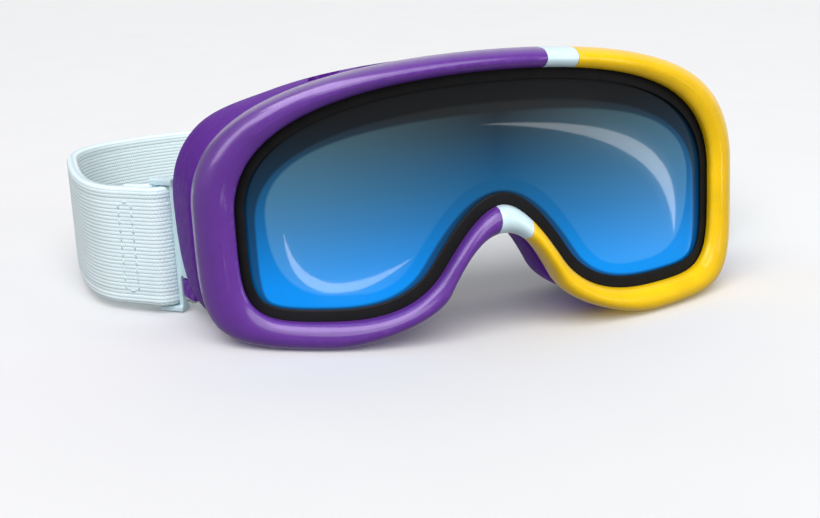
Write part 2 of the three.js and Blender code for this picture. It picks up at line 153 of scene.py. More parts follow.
def grown(path, offset):
    return Edge(path.points + path.out * offset, path.out)


def smoothstep(value, low, high):
    t = np.clip((value - low) / (high - low), 0, 1)
    return t * t * (3 - 2 * t)


def wrap(x, height, depth):
    turn = x / WRAP_RADIUS
    across, back = WRAP_RADIUS * np.sin(turn), WRAP_RADIUS * (1 - np.cos(turn)) + depth
    return np.stack(np.broadcast_arrays(across, back, height), axis=-1)


WINDOW_EDGE = edge(WINDOW)
ZONE_EDGE = edge(GLARE_ZONE)
RIM_PATH = edge(RIM_EDGE)
FRAME_PATH = edge(FRAME_EDGE)
TOTAL = len(WINDOW_EDGE.points)
HALF = TOTAL // 2
MID_LEVEL = 41.05  # mid-height of the face frame
FLARE = 4  # the frame's back edge stands out by this much at the temples
TUCK = 1.5  # and its corner is this much nearer the front


# ---- sections of rings
def rounded(section, span=1.0, steps=5):
    """A section with its corners rounded. Its rows are (at, off, depth, close, radius, flare), flare being 0
    if left out, and span is the ring's width."""
    rows = np.array([(*p, 0)[:6] for p in section], float)
    place = np.stack([rows[:, 0] * span + rows[:, 1], rows[:, 2]], axis=1)
    loop = []
    for i, row in enumerate(rows):
        arms = []
        for other in (i - 1, (i + 1) % len(rows)):
            length = np.linalg.norm(place[other] - place[i])
            cut = min(row[4], 0.48 * length)
            arms.append(row + (rows[other] - row) * cut / length)
        t = np.linspace(0, 1, steps)[:, None]
        loop.append((1 - t) ** 2 * arms[0] + 2 * (1 - t) * t * row + t**2 * arms[1])
    return np.concatenate(loop)[:, [0, 1, 2, 3, 5]]


def ring_rows(inner, outer, section):
    """Section loops round a ring. `at` runs from 0 on the inner outline to 1 on the outer; `off` moves out.
    At the temples, `close` brings the point forward and `flare` moves it out, most at mid-height."""
    at, off, depth, close, flare = section.T
    level = (inner.points[:, 1] - MID_LEVEL) / MID_LEVEL
    temple = smoothstep(np.abs(inner.points[:, 0]), 60, 85) * np.maximum(0, 1 - level**2)
    shift = (off + flare * temple[:, None])[..., None]
    start = inner.points[:, None] + inner.out[:, None] * shift
    end = outer.points[:, None] + outer.out[:, None] * shift
    flat = start + (end - start) * at[None, :, None]
    return wrap(flat[..., 0], flat[..., 1], depth - close * temple[:, None])


def between(rows, start, stop, count):
    """Section loops resampled from station start to station stop, each given for every section point."""
    stations = start + (stop - start) * np.linspace(0, 1, count)[:, None]
    low = np.floor(stations).astype(int)
    share = (stations - low)[..., None]
    column = np.arange(rows.shape[1])[None, :]
    return rows[low % len(rows), column] * (1 - share) + rows[(low + 1) % len(rows), column] * share


def with_fillets(rows, radius, steps=3):
    """Rows with rounded ends."""

    def end(row, neighbour):
        inward = row.mean(axis=0) - row
        inward /= np.linalg.norm(inward, axis=1)[:, None]
        back = (neighbour - row).mean(axis=0)
        back /= np.linalg.norm(back)
        turns = np.linspace(0, math.pi / 2, steps + 1)
        return [row + radius * (back * (1 - math.sin(a)) + inward * (1 - math.cos(a))) for a in turns]

    first = end(rows[0], rows[1])[::-1]
    last = end(rows[-1], rows[-2])
    return np.array([*first, *rows[1:-1], *last])


# ---- meshes
def add_object(name, data):
    thing = bpy.data.objects.new(name, data)
    bpy.context.scene.collection.objects.link(thing)
    return thing


def make_mesh(name, points, faces):
    mesh = bpy.data.meshes.new(name)
    mesh.from_pydata(points, [], faces)
    return mesh


def make_piece(name, points, faces, attributes=None, sharp=40):
    """A mesh piece from points in part millimetres, smooth except at edges over `sharp` degrees."""
    mesh = make_mesh(name, (np.asarray(points) * MM + ORIGIN).tolist(), faces)
    for label, values in (attributes or {}).items():
        layer = mesh.attributes.new(label, "FLOAT", "POINT")
        layer.data.foreach_set("value", np.asarray(values, np.float32).ravel())
    piece = add_object(name, mesh)
    shade(piece, sharp)
    return piece


def shade(piece, sharp=40):
    mesh = bmesh.new()
    mesh.from_mesh(piece.data)
    bmesh.ops.recalc_face_normals(mesh, faces=mesh.faces)
    for face in mesh.faces:
        face.smooth = True
    for side in mesh.edges:
        side.smooth = len(side.link_faces) == 2 and side.calc_face_angle(0) < math.radians(sharp)
    mesh.to_mesh(piece.data)
    mesh.free()


def tube_faces(count, size, joined):
    faces = []
    for i in range(count if joined else count - 1):
        here, ahead = i * size, (i + 1) % count * size
        for j in range(size):
            k = (j + 1) % size
            faces.append((here + j, here + k, ahead + k, ahead + j))
    if not joined:
        faces.append(tuple(range(size)))
        faces.append(tuple((count - 1) * size + j for j in range(size)))
    return faces


def tube(name, rows, joined=False, attributes=None, sharp=40):
    """A closed tube through rows of section loops, joined end to end or capped."""
    count, size = rows.shape[:2]
    return make_piece(name, rows.reshape(-1, 3), tube_faces(count, size, joined), attributes, sharp)


def lathe(name, center, profile, sides=40):
    """A piece turned on a vertical line. The profile is a closed loop of (radius, height) pairs."""
    turn = np.linspace(0, 2 * math.pi, sides, endpoint=False)[:, None]
    radius, height = np.array(profile, float).T
    rows = np.stack(
        [center[0] + radius * np.cos(turn), center[1] + radius * np.sin(turn), height + 0 * turn], axis=-1
    )
    return tube(name, rows, joined=True)


def give(piece, material):
    """Give a piece one of the materials."""
    piece.data.materials.clear()
    piece.data.materials.append(LOOKS[material])
    return piece


def stand_in(piece, node, material):
    """Finish a piece that rides on the root body in place of a CAD node."""
    give(piece, material)
    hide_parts(node)
    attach(piece, "root")
    return piece


# ---- materials
def srgb(*levels):
    """Linear colour of an 8-bit screen colour."""
    shares = [level / 255 for level in levels]
    return tuple(s / 12.92 if s <= 0.04045 else ((s + 0.055) / 1.055) ** 2.4 for s in shares) + (1,)


class Look:
    """A material being built: its Principled shader and short names for the nodes that feed it."""

    def __init__(self, name, **sockets):
        self.material = bpy.data.materials.new(name)
        self.material.use_nodes = True
        self.tree = self.material.node_tree
        self.shader = self.tree.nodes["Principled BSDF"]
        for socket, value in sockets.items():
            self.shader.inputs[socket.replace("_", " ")].default_value = value
        self.place = self.node("ShaderNodeTexCoord").outputs["Object"]

    def node(self, kind, inputs=None, **settings):
        node = self.tree.nodes.new(kind)
        for key, value in settings.items():
            setattr(node, key, value)
        for socket, value in (inputs or {}).items():
            if isinstance(value, bpy.types.NodeSocket):
                self.tree.links.new(value, node.inputs[socket])
            else:
                node.inputs[socket].default_value = value
        return node

    def finish(self, color, roughness=None, normal=None):
        """Feed the shader and hand back the material."""
        for socket, source in (("Base Color", color), ("Roughness", roughness), ("Normal", normal)):
            if source:
                self.tree.links.new(source, self.shader.inputs[socket])
        return self.material

    def noise(self, size_mm, detail=3, roughness=0.5):
        inputs = {"Vector": self.place, "Scale": 1 / (size_mm * MM), "Detail": detail, "Roughness": roughness}
        return self.node("ShaderNodeTexNoise", inputs).outputs["Fac"]

    def cells(self, size_mm):
        inputs = {"Vector": self.place, "Scale": 1 / (size_mm * MM)}
        return self.node("ShaderNodeTexVoronoi", inputs).outputs["Distance"]

    def span(self, value, low, high, to_low=0.0, to_high=1.0, soft=False):
        inputs = {"Value": value, "From Min": low, "From Max": high, "To Min": to_low, "To Max": to_high}
        kind = "SMOOTHSTEP" if soft else "LINEAR"
        return self.node("ShaderNodeMapRange", inputs, interpolation_type=kind).outputs["Result"]

    def math(self, operation, *values):
        return self.node("ShaderNodeMath", dict(enumerate(values)), operation=operation).outputs[0]

    def mix(self, factor, first, second):
        node = self.node("ShaderNodeMix", data_type="RGBA")
        for index, value in ((0, factor), (6, first), (7, second)):
            if isinstance(value, bpy.types.NodeSocket):
                self.tree.links.new(value, node.inputs[index])
            else:
                node.inputs[index].default_value = value
        return node.outputs[2]

    def attribute(self, name):
        return self.node("ShaderNodeAttribute", attribute_name=name).outputs["Fac"]

    def bump(self, height, depth_mm, strength=1.0):
        inputs = {"Height": height, "Distance": depth_mm * MM, "Strength": strength}
        return self.node("ShaderNodeBump", inputs).outputs["Normal"]

    def edges(self):
        """Rises from 0 to 1 along convex edges."""
        return self.span(self.node("ShaderNodeNewGeometry").outputs["Pointiness"], 0.505, 0.56)


def plastic(name, color, worn, grain_mm=0.35, grain_depth=0.008, rough=(0.3, 0.42), coat=0.55, specular=0.25):
    """Moulded plastic: a fine orange-peel grain, faint mottling and edges that have gone paler."""
    look = Look(name, Coat_Weight=coat, Coat_Roughness=0.14, IOR=1.5, Specular_IOR_Level=specular)
    deep = tuple(0.88 * c for c in color[:3]) + (1,)
    base = look.mix(look.span(look.noise(14, detail=4), 0.35, 0.65), deep, color)
    scuff = look.math("MULTIPLY", look.edges(), look.span(look.noise(1.8, detail=5), 0.45, 0.7))
    return look.finish(
        look.mix(look.math("MULTIPLY", scuff, 0.5), base, worn),
        look.span(look.noise(2.5, detail=6), 0.3, 0.7, *rough),
        look.bump(look.noise(grain_mm, detail=2), grain_depth),
    )


def rubber():
    look = Look("black_rubber", IOR=1.5, Specular_IOR_Level=0.25)
    return look.finish(
        look.mix(look.span(look.noise(5), 0.3, 0.7), srgb(5, 5, 6), srgb(13, 13, 15)),
        look.span(look.noise(0.8, detail=5), 0.3, 0.7, 0.6, 0.76),
        look.bump(look.noise(0.2), 0.01),
    )


def foam(name, dark, light, cell_mm, depth_mm):
    """Foam: open cells as pits with painted shade inside them, and a slow variation in colour."""
    look = Look(name, Roughness=0.95, Sheen_Weight=0.15, Sheen_Roughness=0.5)
    # painted shade: the foam goes darker down in each pit, times a slow variation in its own tone
    pits = look.span(look.cells(cell_mm), 0.15, 0.6)
    pit_shade_and_tone = look.math("MULTIPLY", pits, look.span(look.noise(6), 0.3, 0.7, 0.75, 1.0))
    return look.finish(look.mix(pit_shade_and_tone, dark, light), normal=look.bump(pits, depth_mm, 0.8))


def fleece():
    """Brushed fleece: soft tangled nap with a pale sheen."""
    look = Look("fleece_lining", Roughness=1.0, Sheen_Weight=0.6, Sheen_Roughness=0.4)
    look.shader.inputs["Sheen Tint"].default_value = srgb(150, 150, 165)
    tangle = look.noise(0.5, detail=6, roughness=0.7)
    nap = look.math("ADD", look.math("MULTIPLY", look.noise(2.4), 0.7), tangle)
    # painted shade: the fleece goes darker where its tangled nap lies lower
    return look.finish(
        look.mix(look.span(tangle, 0.35, 0.65), srgb(14, 14, 17), srgb(56, 56, 62)),
        normal=look.bump(nap, 0.5),
    )


RIB_MM = 1.25
WEFT_MM = 0.95


def elastic():
    """Woven elastic: ribs along the strap, crossed by staggered weft loops, with painted shade in the
    grooves.
    """
    look = Look("strap_elastic", Roughness=0.82, Sheen_Weight=0.25, Sheen_Roughness=0.45)
    across = look.math("DIVIDE", look.attribute("across_mm"), RIB_MM)
    along = look.math("DIVIDE", look.attribute("along_mm"), WEFT_MM)
    stagger = look.math("MULTIPLY", look.math("MODULO", look.math("FLOOR", across), 2.0), 0.5)
    rib = look.math("ABSOLUTE", look.math("SINE", look.math("MULTIPLY", across, math.pi)))
    shifted = look.math("ADD", along, stagger)
    weft = look.math("ABSOLUTE", look.math("SINE", look.math("MULTIPLY", shifted, math.pi)))
    thread = look.math("MULTIPLY", look.math("POWER", rib, 0.6), look.span(weft, 0, 1, 0.55, 1.0))
    thread = look.math("ADD", thread, look.math("MULTIPLY", look.noise(0.25, detail=4), 0.25))
    # painted shade: the webbing goes darker where the threads dip into the grooves
    shaded = look.mix(look.span(thread, 0.1, 0.75), srgb(186, 213, 222), srgb(236, 252, 255))
    soiled = look.mix(look.span(look.noise(22, detail=4), 0.5, 0.75, 0, 0.25), shaded, srgb(196, 220, 226))
    return look.finish(soiled, normal=look.bump(thread, 0.22, 0.85))


def thread_look():
    look = Look("sewing_thread", Roughness=0.7, Sheen_Weight=0.2)
    twist = look.node("ShaderNodeTexWave", {"Vector": look.place, "Scale": 900.0}, bands_direction="DIAGONAL")
    # painted shade: the thread goes darker in the grooves of its twist
    return look.finish(
        look.mix(twist.outputs["Fac"], srgb(182, 208, 220), srgb(230, 246, 252)),
        normal=look.bump(twist.outputs["Fac"], 0.05),
    )


def tinted_lens():
    """Polished lens, graded from smoke down to blue, with a painted shadow of the frame round its border and
    a painted pale reflection over its middle.
    """
    look = Look("tinted_lens", Coat_Weight=0.4, Coat_Roughness=0.02, IOR=1.5, Specular_IOR_Level=0.1)
    x, _, z = look.node("ShaderNodeSeparateXYZ", {"Vector": look.place}).outputs
    share = look.span(z, WINDOW["lobe_bottom"] * MM, WINDOW["top"] * MM)
    stops = [
        (0.0, (0, 153, 255)), (0.1, (1, 149, 249)), (0.25, (7, 129, 212)), (0.38, (15, 110, 176)),
        (0.53, (20, 91, 137)), (0.63, (25, 77, 114)), (0.76, (32, 58, 76)), (0.87, (37, 40, 42)),
        (1.0, (34, 34, 34)),
    ]
    ramp = look.node("ShaderNodeValToRGB", {"Fac": share})
    elements = ramp.color_ramp.elements
    while len(elements) < len(stops):
        elements.new(0.5)
    for element, (position, color) in zip(elements, stops):
        element.position = position
        element.color = srgb(*color)
    # painted pale reflection: a whitish veil over the middle zone, stronger towards the wrapped sides
    flare = look.span(look.math("ABSOLUTE", x), 0.0, 0.07, 0.0, 0.13)
    center = look.span(look.attribute("glare_zone_mm"), -0.5, 0.5, soft=True)
    with_painted_glare = look.mix(look.math("MULTIPLY", flare, center), ramp.outputs["Color"], srgb(180, 242, 255))
    # painted shadow of the frame: the tint goes darker in a band round the window, wider at the top
    rim_shade = look.span(look.attribute("frame_shadow_mm"), -0.5, 0.5, 0.68, 0.0, soft=True)
    return look.finish(
        look.mix(rim_shade, with_painted_glare, srgb(10, 14, 18)),
        look.span(look.noise(30, detail=5), 0.4, 0.75, 0.1, 0.2),
        look.bump(look.noise(45, detail=1), 0.02),
    )


def clear_sheet():
    look = Look("clear_lens", Transmission_Weight=0.92, IOR=1.49, Coat_Weight=0.0)
    return look.finish(
        look.mix(look.noise(20), srgb(206, 224, 234), srgb(226, 238, 246)),
        look.span(look.noise(12, detail=5), 0.4, 0.8, 0.03, 0.12),
    )


def steel():
    look = Look("steel_pin", Metallic=1.0, Anisotropic=0.4, IOR=2.5)
    inputs = {"Vector": look.place, "Scale": 1600.0, "Distortion": 1.0}
    turning = look.node("ShaderNodeTexWave", inputs, bands_direction="Z")
    return look.finish(
        look.mix(look.noise(1.5, detail=5), srgb(168, 171, 176), srgb(206, 208, 212)),
        look.span(look.noise(0.6, detail=5), 0.3, 0.7, 0.22, 0.38),
        look.bump(turning.outputs["Fac"], 0.01),
    )


def silicone():
    look = Look("grip_silicone", IOR=1.41, Subsurface_Weight=0.2, Subsurface_Scale=0.001)
    return look.finish(
        look.mix(look.noise(3), srgb(120, 165, 182), srgb(160, 200, 214)),
        look.span(look.noise(1.2), 0.3, 0.7, 0.25, 0.45),
        look.bump(look.noise(0.7), 0.05),
    )


# Each plastic's colour, worn colour, grain size and depth, roughness, coat and specular level
PLASTICS = {
    "purple_plastic": (srgb(101, 48, 152), srgb(160, 110, 205)),
    "yellow_plastic": (srgb(255, 205, 0), srgb(255, 226, 110), 0.35, 0.008, (0.3, 0.42), 0.35, 0.15),
    "white_plastic": (srgb(220, 246, 254), srgb(245, 252, 255)),
    "frame_plastic": (srgb(95, 32, 150), srgb(140, 92, 190), 0.6, 0.03, (0.45, 0.6), 0.0, 0.1),
    "black_plastic": (srgb(22, 22, 25), srgb(70, 70, 76), 0.5, 0.03, (0.45, 0.6), 0.0),
    "outrigger_plastic": (srgb(206, 232, 240), srgb(240, 250, 255), 0.5, 0.02, (0.4, 0.55), 0.1),
    "slider_plastic": (srgb(96, 44, 146), srgb(160, 110, 205), 0.5, 0.02, (0.32, 0.46), 0.2),
}
# Each foam's dark and light colour, cell size and depth
FOAMS = {
    "spacer_foam": (srgb(10, 10, 12), srgb(32, 32, 36), 0.5, 0.06),
    "vent_foam": (srgb(6, 6, 8), srgb(52, 52, 58), 1.1, 0.5),
    "firm_foam": (srgb(40, 40, 46), srgb(86, 86, 96), 0.6, 0.2),
    "soft_foam": (srgb(16, 16, 19), srgb(62, 62, 70), 1.0, 0.45),
}
LOOKS = {name: plastic(name, *values) for name, values in PLASTICS.items()}
LOOKS |= {name: foam(name, *values) for name, values in FOAMS.items()}
LOOKS |= {
    "black_rubber": rubber(), "fleece_lining": fleece(), "strap_elastic": elastic(),
    "sewing_thread": thread_look(), "tinted_lens": tinted_lens(), "clear_lens": clear_sheet(),
    "steel_pin": steel(), "grip_silicone": silicone(),
}


# ---- camera, studio and lights
CAMERA_TARGET = Vector((0, ORIGIN[1] + 0.030, 0.044))
CAMERA_AZIMUTH = math.radians(-16.14)
CAMERA_ELEVATION = math.radians(10.72)
CAMERA_ROLL = math.radians(-3.13)
CAMERA_DISTANCE = 0.4404
CAMERA_LENS_MM = 61.68
AIM_LEFT, AIM_DOWN = 0.0201, 0.0255  # the goggles stand right of and above the picture's middle


def add_camera():
    """Stand the camera facing the goggles, aimed a little off their middle, and return its place."""
    flat, rise = math.cos(CAMERA_ELEVATION), math.sin(CAMERA_ELEVATION)
    right = Vector((math.cos(CAMERA_AZIMUTH), math.sin(CAMERA_AZIMUTH), 0))
    backward = Vector((right.y * flat, -right.x * flat, rise))
    location = CAMERA_TARGET + backward * CAMERA_DISTANCE
    aim = CAMERA_TARGET - right * AIM_LEFT - backward.cross(right) * AIM_DOWN
    data = bpy.data.cameras.new("camera")
    data.lens = CAMERA_LENS_MM
    data.clip_start = 0.01
    camera = add_object("camera", data)
    turn = (location - aim).to_track_quat("Z", "Y").to_matrix().to_4x4()
    camera.matrix_world = Matrix.Translation(location) @ turn @ Matrix.Rotation(CAMERA_ROLL, 4, "Z")
    bpy.context.scene.camera = camera
    return location


def add_floor():
    """A pale sheet that lies flat under the goggles and curves up far behind them."""
    reach, bend, rise, half_width = 6.0, 1.5, 4.0, 8.0
    turns = np.linspace(0, math.pi / 2, 16)
    line = [(-reach, 0.0), (0.0, 0.0)]
    line += [(reach + bend * math.sin(a), bend * (1 - math.cos(a))) for a in turns]
    line.append((reach + bend, rise))
    verts = [(x, y, z) for y, z in line for x in (-half_width, half_width)]
    faces = [(2 * i, 2 * i + 1, 2 * i + 3, 2 * i + 2) for i in range(len(line) - 1)]
    floor = add_object("floor", make_mesh("floor", verts, faces))
    shade(floor)
    look = Look("floor_paper", Roughness=0.9)
    paper = look.mix(look.noise(60), srgb(233, 233, 233), srgb(237, 237, 237))
    floor.data.materials.append(look.finish(paper))
    floor.visible_glossy = floor.visible_diffuse = False  # the undersides stay dark and the lens clear


def add_area_light(name, location, size, power):
    """A rectangular light that faces the goggles."""
    data = bpy.data.lights.new(name, "AREA")
    data.shape = "RECTANGLE"
    data.size, data.size_y = size
    data.energy = power
    light = add_object(name, data)
    light.location = location
    light.rotation_euler = (Vector(location) - CAMERA_TARGET).to_track_quat("Z", "Y").to_euler()


def add_reflector(name, eye, outer, inner, strength, distance=0.5, steps=40):
    """A crescent light panel whose reflection in the lens, seen from `eye`, lies between two curves on it.
    outer and inner are the control points of Bezier curves, in millimetres on the unrolled lens."""
    rows = []
    for controls in (outer, inner):
        place = bezier(controls, np.linspace(0, 1, steps))
        turn = place[:, 0] / WRAP_RADIUS
        points = wrap(place[:, 0], place[:, 1], 0) * MM + ORIGIN
        normal = np.stack([np.sin(turn), -np.cos(turn), 0 * turn], axis=1)
        ray = points - np.array(eye)
        ray /= np.linalg.norm(ray, axis=1)[:, None]
        bounce = ray - 2 * (ray * normal).sum(axis=1)[:, None] * normal
        rows.append(points + bounce * distance)
    faces = [(i, i + 1, steps + i + 1, steps + i) for i in range(steps - 1)]
    add_panel(name, make_mesh(name, np.concatenate(rows).tolist(), faces), strength)


def add_panel(name, mesh, strength, color=(1, 1, 1)):
    """A glowing mesh that is seen only in reflections."""
    material = bpy.data.materials.new(name)
    material.use_nodes = True
    tree = material.node_tree
    tree.nodes.clear()
    glow = tree.nodes.new("ShaderNodeEmission")
    glow.inputs["Strength"].default_value = strength
    glow.inputs["Color"].default_value = (*color, 1)
    output = tree.nodes.new("ShaderNodeOutputMaterial")
    tree.links.new(glow.outputs["Emission"], output.inputs["Surface"])
    mesh.materials.append(material)
    panel = add_object(name, mesh)
    panel.visible_camera = panel.visible_diffuse = panel.visible_shadow = panel.visible_transmission = False


def add_sheen_panel(name, location, size, strength, color):
    """A broad light panel that only reflections see, for soft streaks on the rounded plastic."""
    center = Vector(location)
    away = (center - CAMERA_TARGET).normalized()
    right = Vector((0, 0, 1)).cross(away).normalized() * size[0] / 2
    up = away.cross(right).normalized() * size[1] / 2
    corners = [center - right - up, center + right - up, center + right + up, center - right + up]
    add_panel(name, make_mesh(name, [tuple(corner) for corner in corners], [(0, 1, 2, 3)]), strength, color)


def add_sun(name, direction, strength, spread):
    """A soft sun: `direction` points towards it, and `spread` is its width in degrees."""
    data = bpy.data.lights.new(name, "SUN")
    data.energy = strength
    data.angle = math.radians(spread)
    add_object(name, data).rotation_euler = Vector(direction).to_track_quat("Z", "Y").to_euler()


def add_studio(eye):
    world = bpy.data.worlds.new("studio")
    world.use_nodes = True
    sky = world.node_tree.nodes["Background"].inputs
    sky["Color"].default_value = (0.95, 0.97, 1.0, 1)
    sky["Strength"].default_value = 0.33
    bpy.context.scene.world = world
    bpy.context.scene.view_settings.view_transform = "Standard"
    lavender = (0.9, 0.78, 1.0)
    add_sun("front_sun", (-0.25, -0.8, 0.85), 2.75, 60)
    add_sun("back_sun", (0.5, 0.85, 0.45), 0.8, 90)
    add_area_light("fill", (0.9, -0.9, 0.35), (0.6, 0.5), 3.5)
    add_sheen_panel("top_sheen", (-0.45, -0.1, 0.85), (1.1, 0.45), 8.0, lavender)
    add_sheen_panel("corner_sheen", (-0.8, -0.05, 0.7), (0.5, 0.5), 7.0, lavender)
    add_sheen_panel("left_sheen", (-0.95, 0.05, 0.45), (0.3, 0.6), 6.0, lavender)
    arc_tips = (-5.5, 64.3), (63.3, 22)
    arc_outer = (arc_tips[0], (30, 64), (71, 54), arc_tips[1])
    arc_inner = (arc_tips[0], (26, 62), (62, 49), arc_tips[1])
    add_reflector("arc_panel", eye, arc_outer, arc_inner, 9.0)
    crescent_tips = (-64.5, 35), (-27, 26.5)
    crescent_outer = (crescent_tips[0], (-65, 13), (-45, 12), crescent_tips[1])
    crescent_inner = (crescent_tips[0], (-61, 18), (-48, 15.5), crescent_tips[1])
    add_reflector("crescent_panel", eye, crescent_outer, crescent_inner, 12.0)


# ---- rim
RIM_WIDTH = 9.5  # between the rim's inner and outer outlines, near enough for rounding a section
RIM_INSIDE = 3.4  # from the lens window out to the rim's inner outline
STATION_SPACING = 1.8  # of rim, in millimetres, near enough for the seams
RIM_SECTION = rounded(
    [
        (0, 0, -1.7, 0, 0.3), (0, 0.2, -4.6, 0, 1.6), (0.24, 0, -6.5, 0, 3), (0.52, 0, -7.3, 0, 3),
        (0.8, 0, -6.2, 0, 3), (0.98, 0, -3.4, 0, 3), (1, 0.1, 0.8, 0, 3), (1, -0.3, 5.0, 0, 2),
        (0.9, 0, 7.5, 0, 0.8), (0, 1.9, 7.5, 0, 0.3), (0, 1.9, -1.7, 0, 0.3),
    ],
    RIM_WIDTH,
)


def band_crossings(rows, band, side, first, last):
    """Fractional stations, one for each section point, where the ring meets one end of a colour band."""
    limit = band["center"] + side * band["width"] / 2
    stations = np.arange(first, last)
    line = rows[stations % len(rows)]
    rise = np.clip(line[..., 2] - band["middle"], -BAND_RADIUS, BAND_RADIUS)
    beyond = line[..., 0] - (limit - BAND_RADIUS + np.sqrt(BAND_RADIUS**2 - rise**2))
    found = []
    for column in beyond.T:
        i = int(np.flatnonzero(column[:-1] * column[1:] <= 0)[0])
        found.append(stations[i] + column[i] / (column[i] - column[i + 1]))
    return np.array(found)


def add_rim():
    rows = ring_rows(grown(WINDOW_EDGE, RIM_INSIDE), RIM_PATH, RIM_SECTION)
    rows[..., 2] = np.maximum(rows[..., 2], 0)
    top = [band_crossings(rows, TOP_BAND, side, 0, STATIONS["crown"]) for side in (-1, 1)]
    reach = STATIONS["nose"] + STATIONS["lobe"] // 2
    nose = [band_crossings(rows, NOSE_BAND, side, HALF - reach, HALF + reach) for side in (1, -1)]
    gap = SEAM / STATION_SPACING
    segments = {
        "rim_top_band": (top[0] + gap, top[1] - gap, "white_plastic"),
        "rim_right": (top[1], nose[0], "yellow_plastic"),
        "rim_nose_band": (nose[0] + gap, nose[1] - gap, "white_plastic"),
        "rim_left": (nose[1], top[0] + TOTAL, "purple_plastic"),
    }
    for name, (start, stop, slot) in segments.items():
        count = int(np.ceil((stop - start).mean())) + 8
        shell = tube(f"{name}_shell", with_fillets(between(rows, start, stop, count), 0.2))
        stand_in(shell, name, slot)


# ---- lens pack
def inside_distance(x, height, path):
    """Distance in from an outline, negative outside it."""
    places = np.stack([x.ravel(), height.ravel()], axis=1)
    start, stop = path.points, np.roll(path.points, -1, axis=0)
    run = stop - start
    best = np.full(len(places), np.inf)
    for a, d in zip(start, run):
        share = np.clip(((places - a) @ d) / (d @ d), 0, 1)
        best = np.minimum(best, np.linalg.norm(places - a - share[:, None] * d, axis=1))
    low, high = column_ends(np.abs(places[:, 0]), path)
    inside = (places[:, 1] > low) & (places[:, 1] < high) & (np.abs(places[:, 0]) < path.points[:, 0].max())
    return np.where(inside, best, -best).reshape(x.shape)


def column_ends(x, path):
    """Heights where a vertical line at x >= 0 on the wrap enters and leaves an outline."""
    right = path.points[: HALF + 1]
    crown, rest = right[: STATIONS["crown"] + 1], right[STATIONS["crown"] :][::-1]
    return np.interp(x, rest[:, 0], rest[:, 1]), np.interp(x, crown[:, 0], crown[:, 1])


LENS_OVERLAP = 2.4  # of the lens sheets beyond the window, behind the seal
SHADOW_WIDTH, SHADOW_DROP = 3.3, 2.8  # of the painted shadow of the frame round the window, which is wider at the top


def lens_plate(name, front, thickness, columns=150, levels=44):
    """A curved sheet, with how far each point lies inside the zones of painted shadow and painted pale
    reflection.
    """
    path = grown(WINDOW_EDGE, LENS_OVERLAP)
    reach = path.points[:, 0].max()
    x = 0.996 * reach * np.sin(np.linspace(-math.pi / 2, math.pi / 2, columns))
    low, high = column_ends(np.abs(x), path)
    share = (1 - np.cos(np.linspace(0, math.pi, levels))) / 2
    height = low[:, None] + (high - low)[:, None] * share
    flat_x = np.broadcast_to(x[:, None], height.shape)
    face = wrap(flat_x, height, front)
    back = wrap(flat_x, height, front + thickness)
    rows = np.concatenate([face, back[:, ::-1]], axis=1)
    zones = {
        # painted shadow of the frame round the window, dropped so that it is wider at the top
        "frame_shadow_mm": inside_distance(flat_x, height + SHADOW_DROP, WINDOW_EDGE) - SHADOW_WIDTH,
        "glare_zone_mm": inside_distance(flat_x, height, ZONE_EDGE),
    }
    attributes = {label: np.concatenate([mm, mm[:, ::-1]], axis=1) for label, mm in zones.items()}
    return tube(name, rows, attributes=attributes)


def add_ring(name, node, slot, outer, section):
    """A ring that runs from the lens window's outline to an outer one."""
    stand_in(tube(name, ring_rows(WINDOW_EDGE, outer, section), joined=True), node, slot)


def add_lens_pack():
    stand_in(lens_plate("lens_outer_sheet", 0, 1.6), "outer_lens", "tinted_lens")
    stand_in(lens_plate("lens_inner_sheet", 4.9, 1.2), "inner_lens", "clear_lens")
    seal = [
        (0, 0, -1.4, 0, 0.5), (0, 5, -1.4, 0, 0.3), (0, 5, 7.2, 0, 0.3), (0, 2.7, 7.2, 0, 0.2),
        (0, 2.7, -0.3, 0, 0.1), (0, 0, -0.3, 0, 0.3),
    ]
    add_ring("lens_gasket", "lens_seal", "black_rubber", WINDOW_EDGE, rounded(seal))
    spacer = [(0, -4, 1.9, 0, 0.4), (0, 2.2, 1.9, 0, 0.4), (0, 2.2, 4.6, 0, 0.4), (0, -4, 4.6, 0, 0.4)]
    add_ring("lens_spacer_gasket", "lens_spacer", "spacer_foam", WINDOW_EDGE, rounded(spacer))
    carrier = [
        (0, -1, 6.4, 0, 0.4), (0, 2.4, 6.4, 0, 0.3), (0, 2.4, 7.8, 0, 0.2), (1, -3.2, 7.8, 0, 0.3),
        (1, -4.7, 8.5, 0, 0.5), (1, -4.7, 18, 0, 0.3), (1, -5.8, 18, 0, 0.3), (1, -5.8, 10.4, 0, 1.0),
        (0, -1, 10.4, 0, 0.6),
    ]
    add_ring("lens_bezel", "lens_carrier", "black_plastic", FRAME_PATH, rounded(carrier, RIM_WIDTH))


# ---- face frame, vents and foam
def slot_cutter(x, width, z0, z1, depths=(19.5, 27.5), corner=2.2):
    """A vent slot's rounded box, upright, at a place along the wrap."""
    middle = wrap(np.array(x, float), 0.0, sum(depths) / 2)
    turn = x / WRAP_RADIUS
    along = np.array([math.cos(turn), math.sin(turn)])
    through = np.array([-math.sin(turn), math.cos(turn)])
    half = np.array([width / 2, (depths[1] - depths[0]) / 2])
    ring = []
    for quarter in range(4):
        signs = np.array([(1, 1), (-1, 1), (-1, -1), (1, -1)][quarter])
        for angle in np.linspace(0, math.pi / 2, 6) + quarter * math.pi / 2:
            local = signs * (half - corner) + corner * np.array([math.cos(angle), math.sin(angle)])
            ring.append(middle[:2] + along * local[0] + through * local[1])
    rows = np.array([[(*p, z) for p in ring] for z in (z0, z1)])
    return tube("cutter", rows)


def cut(piece, tool, operation="DIFFERENCE"):
    modifier = piece.modifiers.new("cut", "BOOLEAN")
    modifier.object = tool
    modifier.operation = operation
    modifier.solver = "EXACT"


def apply_modifiers(piece):
    graph = bpy.context.evaluated_depsgraph_get()
    mesh = bpy.data.meshes.new_from_object(piece.evaluated_get(graph))
    piece.modifiers.clear()
    piece.data = mesh


